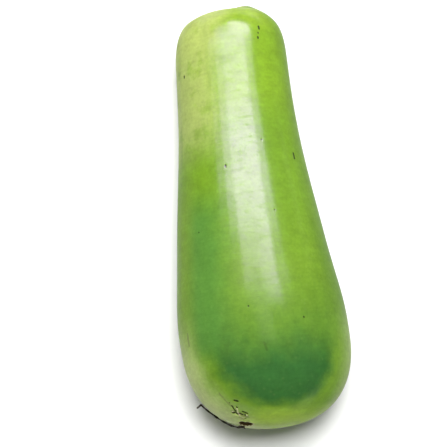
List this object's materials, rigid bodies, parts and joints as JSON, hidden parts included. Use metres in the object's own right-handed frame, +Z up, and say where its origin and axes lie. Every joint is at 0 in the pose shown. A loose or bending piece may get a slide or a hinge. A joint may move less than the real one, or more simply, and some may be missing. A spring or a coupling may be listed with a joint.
{
  "type": "bottle gourd",
  "caption": "Whole green bottle gourd lying on its side, with the cut stub of its stalk and a withered flower thread at the blossom end.",
  "frame": {"origin": "On the ground under the middle of the gourd's bounding box.", "axes": "+Z is up. +Y runs along the lying fruit from the blossom end to the stalk end. +X is across it, to the right when looking along +Y."},
  "size_m": [0.1016, 0.259, 0.102],
  "materials": {
    "skin": "satin",
    "stalk": "matte",
    "withered_flower": "matte"
  },
  "bodies": {
    "root": {"fruit": "skin", "stem_stub": "stalk", "blossom_remnant": "withered_flower"}
  },
  "joints": []
}
